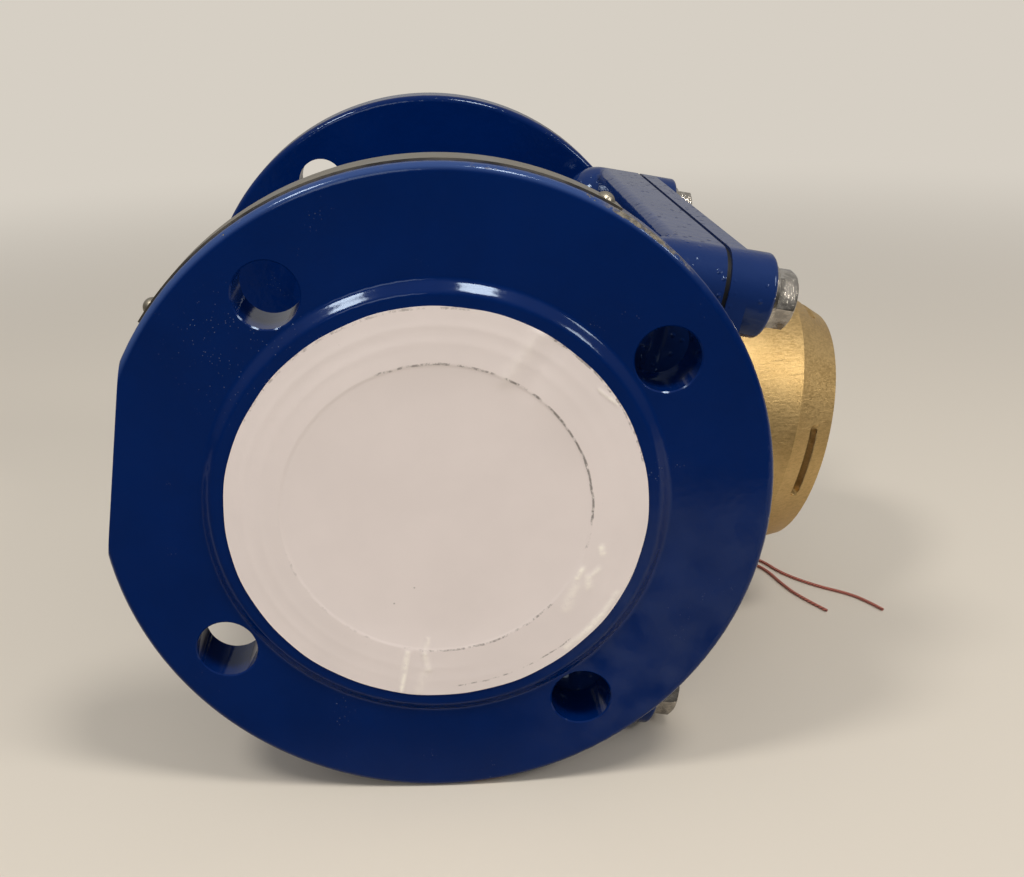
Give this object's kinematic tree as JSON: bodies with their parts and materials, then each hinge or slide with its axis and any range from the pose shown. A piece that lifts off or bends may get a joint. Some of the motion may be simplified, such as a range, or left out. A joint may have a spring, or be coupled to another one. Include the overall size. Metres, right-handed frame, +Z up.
{
  "type": "turbine water meter",
  "caption": "Flanged horizontal turbine water meter in dark blue cast iron with a bolted head cover, brass register ring and film over the inlet, lying on its side.",
  "frame": {"origin": "centre of the inlet flange's bolt circle, in its bolting face; the raised joint face stands 2 mm in front of it", "axes": "+Y along the flow from inlet to outlet, +Z up from the bench that the meter lies on, +X to the side that the register points to"},
  "size_m": [0.2834, 0.2254, 0.2006],
  "materials": {
    "blue_paint": "glossy dark blue stoving enamel with orange peel, chipped to brown iron at the rims",
    "white_film": "soft white protective film, creased, with the bore's edge printed through",
    "bare_alloy": "dull rolled sheet",
    "black_rubber": "matt black sheet rubber",
    "zinc_steel": "bright zinc plate, lightly worn",
    "satin_brass": "fine blasted satin brass with faint scratches",
    "red_thread": "twisted red sealing thread",
    "grey_plastic": "moulded grey plastic",
    "ivory_plastic": "moulded ivory acetal",
    "black_plastic": "moulded black plastic",
    "stainless": "ground stainless steel",
    "magnet_black": "plastic-bonded ferrite",
    "red_plastic": "glossy red plastic",
    "white_enamel": "white dial enamel",
    "clear_glass": "clear thick glass"
  },
  "bodies": {
    "housing": {"meter_body": "blue_paint", "inlet_film": "white_film", "rating_plate": "bare_alloy", "plate_rivets": "bare_alloy", "cover_gasket": "black_rubber", "head_cover": "blue_paint", "bolt_washers": "zinc_steel", "cover_bolts": "zinc_steel", "head_ring": "satin_brass", "insert_frame": "grey_plastic", "insert_screws": "stainless", "flow_straightener": "grey_plastic", "front_bearing": "black_plastic", "rear_bearing": "black_plastic", "outlet_spider": "grey_plastic", "shaft_bush": "black_plastic", "register_can": "bare_alloy", "movement_plate": "satin_brass", "drum_axle": "stainless", "number_drums": "black_plastic", "dial_plate": "white_enamel", "glass_gasket": "black_rubber", "register_glass": "clear_glass", "slip_ring": "black_plastic", "seal_thread_a": "red_thread", "seal_thread_b": "red_thread"},
    "turbine": {"turbine_rotor": "ivory_plastic", "rotor_shaft": "stainless", "drive_worm": "ivory_plastic"},
    "transmission": {"worm_wheel": "ivory_plastic", "transmission_shaft": "stainless", "drive_magnet": "magnet_black"},
    "follower": {"follower_magnet": "magnet_black", "follower_arbor": "satin_brass", "flow_star": "red_plastic"},
    "litre_hand": {"pointer_wheel": "ivory_plastic", "litre_pointer": "red_plastic"},
    "fast_drum": {"first_drum": "black_plastic"}
  },
  "joints": [
    {"name": "turbine_spin", "type": "hinge", "parent": "housing", "child": "turbine", "pos_m": [0, 0.143, 0], "axis": [0, 1, 0], "continuous": true},
    {"name": "transmission_spin", "type": "hinge", "parent": "housing", "child": "transmission", "pos_m": [-0.00294, 0.143, -0.01471], "axis": [0.9806, 0, -0.1959], "continuous": true},
    {"name": "follower_spin", "type": "hinge", "parent": "housing", "child": "follower", "pos_m": [0.09513, 0.143, -0.03429], "axis": [0.9806, 0, -0.1959], "continuous": true},
    {"name": "litre_hand_spin", "type": "hinge", "parent": "housing", "child": "litre_hand", "pos_m": [0.09458, 0.12724, -0.03702], "axis": [0.9806, 0, -0.1959], "continuous": true},
    {"name": "fast_drum_spin", "type": "hinge", "parent": "housing", "child": "fast_drum", "pos_m": [0.10493, 0.151, -0.03625], "axis": [-0.1959, 0, -0.9806], "continuous": true}
  ],
  "couplings": [
    {"joint": "transmission_spin", "follows": "turbine_spin", "ratio": 0.0625},
    {"joint": "follower_spin", "follows": "turbine_spin", "ratio": 0.0625},
    {"joint": "litre_hand_spin", "follows": "turbine_spin", "ratio": -0.015625},
    {"joint": "fast_drum_spin", "follows": "turbine_spin", "ratio": 0.0039062}
  ]
}
